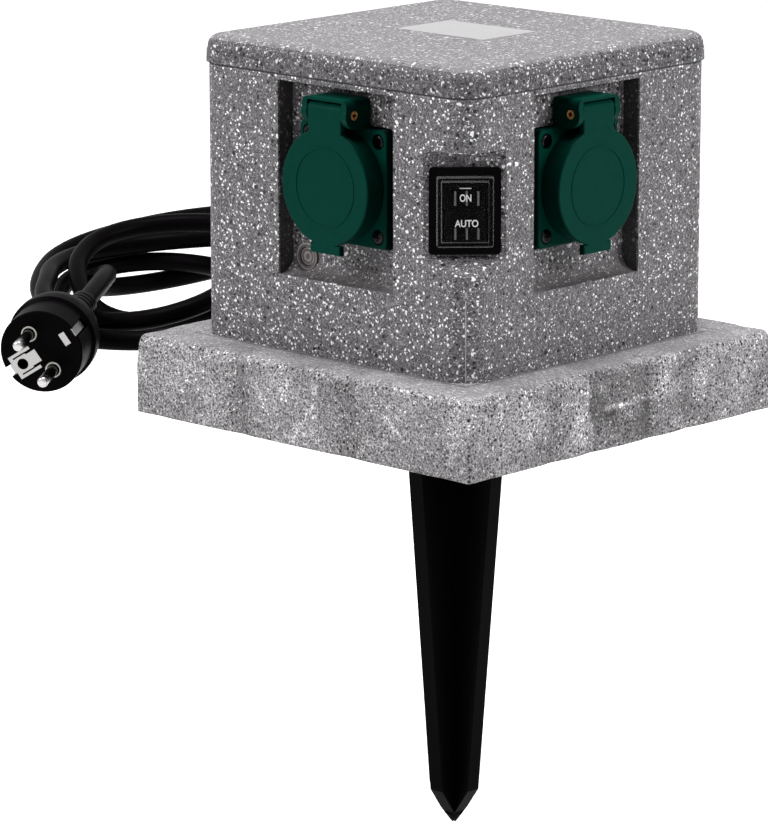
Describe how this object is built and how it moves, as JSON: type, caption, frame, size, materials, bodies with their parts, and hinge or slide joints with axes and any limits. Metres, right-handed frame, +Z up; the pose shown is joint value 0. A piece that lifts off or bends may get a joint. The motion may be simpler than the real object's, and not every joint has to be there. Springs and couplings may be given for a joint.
{
  "type": "garden power post",
  "caption": "Square stone-look garden power post on a ground spike, with lidded earthed outlets on two faces, a corner rocker switch, a dusk sensor and a rubber supply lead with an earthed plug.",
  "frame": {"origin": "centre of the slab's underside, where the post stands on the ground", "axes": "+Z up, -Y out of the outlet face with the sensor, +X out of the other outlet face, the switch between them"},
  "size_m": [0.4099, 0.2437, 0.3505],
  "materials": {
    "pale_stone": "matte granite-look plastic, fine specks",
    "grey_stone": "matte granite-look plastic, white and black flecks",
    "green_plastic": "satin dark green",
    "black_plastic": "satin black",
    "black_rubber": "dull black rubber",
    "clear_plastic": "clear",
    "brass": "turned",
    "nickel": "nickel plated",
    "steel": "plain",
    "board": "solder resist",
    "relay_blue": "moulded",
    "terminal_white": "moulded",
    "core_blue": "insulated"
  },
  "bodies": {
    "post": {"base_slab": "pale_stone", "base_plate": "black_plastic", "ground_spike": "black_plastic", "spike_screws": "steel", "housing": "grey_stone", "left_recess_tray": "grey_stone", "right_recess_tray": "grey_stone", "housing_screws": "steel", "cap": "grey_stone", "cap_seal": "black_rubber", "left_flange_seal": "black_rubber", "left_outlet_body": "green_plastic", "left_outlet_barrel": "green_plastic", "left_hinge_pin": "brass", "left_lid_spring": "steel", "left_contact_insert": "black_plastic", "left_line_contacts": "brass", "left_earth_clip": "nickel", "left_rear_cover": "black_plastic", "left_flange_screws": "nickel", "right_flange_seal": "black_rubber", "right_outlet_body": "green_plastic", "right_outlet_barrel": "green_plastic", "right_hinge_pin": "brass", "right_lid_spring": "steel", "right_contact_insert": "black_plastic", "right_line_contacts": "brass", "right_earth_clip": "nickel", "right_rear_cover": "black_plastic", "right_flange_screws": "nickel", "switch_bezel": "black_plastic", "switch_body": "black_plastic", "switch_boot": "clear_plastic", "switch_terminals": "brass", "sensor_bezel": "black_plastic", "sensor_lens": "clear_plastic", "photocell": "black_plastic", "control_board": "board", "board_posts": "grey_stone", "relay": "relay_blue", "terminal_block": "terminal_white", "supply_cores": "core_blue", "inner_cable": "black_rubber", "cable_clamp": "black_plastic", "gland_body": "black_plastic", "gland_nut": "black_plastic", "bend_relief": "black_rubber", "cord_lead": "black_rubber", "cord_coil": "black_rubber", "plug_body": "black_rubber", "plug_sleeve": "black_rubber", "plug_pins": "nickel", "plug_pin_rings": "terminal_white", "plug_earth_contact": "nickel"},
    "left_lid": {"left_lid": "green_plastic", "left_lid_seal": "black_rubber"},
    "right_lid": {"right_lid": "green_plastic", "right_lid_seal": "black_rubber"},
    "rocker": {"switch_rocker": "black_plastic"}
  },
  "joints": [
    {"name": "left_lid_hinge", "type": "hinge", "parent": "post", "child": "left_lid", "pos_m": [0.0035, -0.0795, 0.1394], "axis": [-1, 0, 0], "range_deg": [0, 95], "stiffness_Nm_per_rad": 0.01, "springref_deg": -34.38},
    {"name": "right_lid_hinge", "type": "hinge", "parent": "post", "child": "right_lid", "pos_m": [0.0795, -0.0035, 0.1394], "axis": [0, -1, 0], "range_deg": [0, 95], "stiffness_Nm_per_rad": 0.01, "springref_deg": -34.38},
    {"name": "rocker_pivot", "type": "hinge", "parent": "post", "child": "rocker", "pos_m": [0.06484, -0.06484, 0.1043], "axis": [0.7071, 0.7071, 0], "range_deg": [0, 14]}
  ]
}
